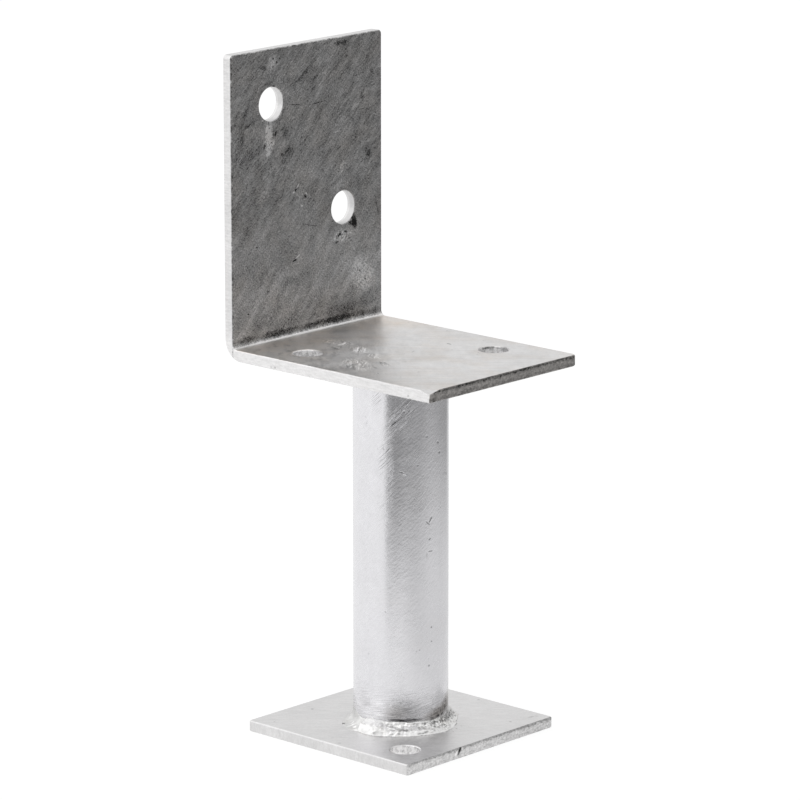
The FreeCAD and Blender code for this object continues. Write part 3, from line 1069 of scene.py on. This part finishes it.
# The sheet ends over these distances from its middle: from, to, share of it that ends there
SHEET_ENDS = ((0.16, 0.46, 0.80), (0.40, 1.0, 0.20))
FLOOR_HALF_SIDE = 8.0

# Which way the soft lamp shines, and how far the camera sees, in metres
LAMP_HEADING = (0.75, 0.55, -1.1)
VIEW_DEPTH = 50


def studio_room():
    """A white backdrop for the camera; the metal shows a dark room with pale cards behind and at the left."""
    world = bpy.data.worlds.new("studio")
    bpy.context.scene.world = world
    tree = Tree(world)
    x, y, z = tree.split(tree.add("ShaderNodeTexCoord", output="Generated"))
    level = (x * x + y * y).maths("SQRT").most(TINY)

    def window(azimuth, half_width, softness):
        """1 within this many degrees of a compass direction, counted from +X towards +Y."""
        across = math.radians(azimuth)
        near = (x * math.cos(across) + y * math.sin(across)) / level
        inner = math.cos(math.radians(max(half_width - softness, 0)))
        outer = math.cos(math.radians(min(half_width + softness, 180)))
        return near.rise(outer, inner)

    def card(behind, tone, mask):
        """A card of this tone in front of what is behind it."""
        return (tone - behind) * mask + behind

    tone = DARK_ROOM
    for card_tone, azimuth, half_width, softness in CARDS:
        tone = card(tone, card_tone, window(azimuth, half_width, softness))
    tone = card(tone, CEILING_TONE, z.rise(*CEILING_RISES))
    to_camera = tree.add("ShaderNodeLightPath", output="Is Camera Ray")
    to_metal = tree.add("ShaderNodeLightPath", output="Is Glossy Ray")
    to_glass = tree.add("ShaderNodeLightPath", output="Is Transmission Ray")
    backdrop = card(tone, 1.0, to_camera)
    seen = to_camera.most(to_metal).most(to_glass)
    strength = card(ROOM_LIGHT, backdrop, seen)
    light = tree.add("ShaderNodeBackground", None, {"Color": (1, 1, 1, 1), "Strength": strength})
    tree.add("ShaderNodeOutputWorld", None, {"Surface": light})


def floor_paper():
    """White paper that keeps a faint shadow; the metal shows it as a sheet that ends some way off."""
    material = bpy.data.materials.new("floor_paper")
    tree = Tree(material)
    x, y, _ = tree.split(tree.add("ShaderNodeTexCoord", output="Object"))
    away_x = x - SHEET_MIDDLE[0]
    away_y = y - SHEET_MIDDLE[1]
    distance = (away_x * away_x + away_y * away_y).maths("SQRT")
    paper = tree.add("ShaderNodeBsdfDiffuse", None, {"Color": (PAPER_TONE,) * 3 + (1,)})
    glow = tree.add("ShaderNodeEmission", None, {"Color": (1, 1, 1, 1), "Strength": PAPER_GLOW})
    seen = tree.add("ShaderNodeAddShader", None, {0: paper, 1: glow})
    rightward = x * RIGHTWARD[0] + y * RIGHTWARD[1]
    pale = SHEET_TONE - rightward.rise(*SHEET_DIMS)
    sheet = tree.add("ShaderNodeEmission", None, {"Color": (1, 1, 1, 1), "Strength": pale})
    beyond = tree.add("ShaderNodeBsdfTransparent")
    ending = sum(distance.rise(*stretch) for stretch in SHEET_ENDS)
    in_metal = tree.add("ShaderNodeMixShader", None, {0: ending, 1: sheet, 2: beyond})
    to_metal = tree.add("ShaderNodeLightPath", output="Is Glossy Ray")
    to_glass = tree.add("ShaderNodeLightPath", output="Is Transmission Ray")
    surface = tree.add("ShaderNodeMixShader", None, {0: to_metal.most(to_glass), 1: seen, 2: in_metal})
    tree.add("ShaderNodeOutputMaterial", None, {"Surface": surface})
    return material


class POSTBASE_OT_set_stage(bpy.types.Operator):
    """Sets the camera, the soft lamp, the pale floor and the studio"""

    bl_idname = "post_base.set_stage"
    bl_label = "Set the stage"

    def execute(self, context):
        stage = context.scene.post_base.stage
        mesh = bmesh.new()
        bmesh.ops.create_grid(mesh, x_segments=1, y_segments=1, size=FLOOR_HALF_SIDE)
        data = bpy.data.meshes.new("floor")
        mesh.to_mesh(data)
        mesh.free()
        floor = bpy.data.objects.new("floor", data)
        data.materials.append(floor_paper())
        context.scene.collection.objects.link(floor)

        camera_data = bpy.data.cameras.new("camera")
        camera_data.lens = stage.focal_length
        camera_data.clip_end = VIEW_DEPTH
        camera = bpy.data.objects.new("camera", camera_data)
        level = math.cos(stage.elevation)
        back = Vector((
            math.sin(stage.azimuth) * level, -math.cos(stage.azimuth) * level, math.sin(stage.elevation)))
        camera.location = Vector(stage.aim) + back * stage.distance
        camera.rotation_euler = (-back).to_track_quat("-Z", "Y").to_euler()
        context.scene.collection.objects.link(camera)
        context.scene.camera = camera

        lamp_data = bpy.data.lights.new("soft_lamp", "SUN")
        lamp_data.energy = stage.lamp_strength
        lamp_data.angle = stage.lamp_spread
        lamp = bpy.data.objects.new("soft_lamp", lamp_data)
        lamp.rotation_euler = Vector(LAMP_HEADING).to_track_quat("-Z", "Y").to_euler()
        context.scene.collection.objects.link(lamp)
        studio_room()
        context.scene.view_settings.view_transform = "Standard"
        return {"FINISHED"}


class POSTBASE_PT_panel(bpy.types.Panel):
    """Lists the settings and the steps that dress the post base"""

    bl_label = "Post base"
    bl_idname = "POSTBASE_PT_panel"
    bl_space_type = "VIEW_3D"
    bl_region_type = "UI"
    bl_category = "Post base"

    def draw(self, context):
        settings = context.scene.post_base
        for group in (settings.zinc, settings.weld, settings.stage):
            box = self.layout.box()
            for name in group.bl_rna.properties.keys():
                if name not in {"rna_type", "name"}:
                    box.prop(group, name)
        for step in STEPS:
            self.layout.operator(step.bl_idname)


STEPS = (
    POSTBASE_OT_finish_bracket,
    POSTBASE_OT_finish_foot_plate,
    POSTBASE_OT_finish_tube,
    POSTBASE_OT_lay_foot_weld,
    POSTBASE_OT_lay_seat_weld,
    POSTBASE_OT_add_spatter,
    POSTBASE_OT_set_stage,
)
CLASSES = (ZincSettings, WeldSettings, StageSettings, PostBaseSettings) + STEPS + (POSTBASE_PT_panel,)


def register():
    for each in CLASSES:
        bpy.utils.register_class(each)
    bpy.types.Scene.post_base = PointerProperty(type=PostBaseSettings)


def unregister():
    del bpy.types.Scene.post_base
    for each in reversed(CLASSES):
        bpy.utils.unregister_class(each)


def main():
    register()
    bpy.ops.post_base.finish_bracket()
    bpy.ops.post_base.finish_foot_plate()
    bpy.ops.post_base.finish_tube()
    bpy.ops.post_base.lay_foot_weld()
    bpy.ops.post_base.lay_seat_weld()
    bpy.ops.post_base.add_spatter()
    bpy.ops.post_base.set_stage()


if __name__ == "__main__":
    main()
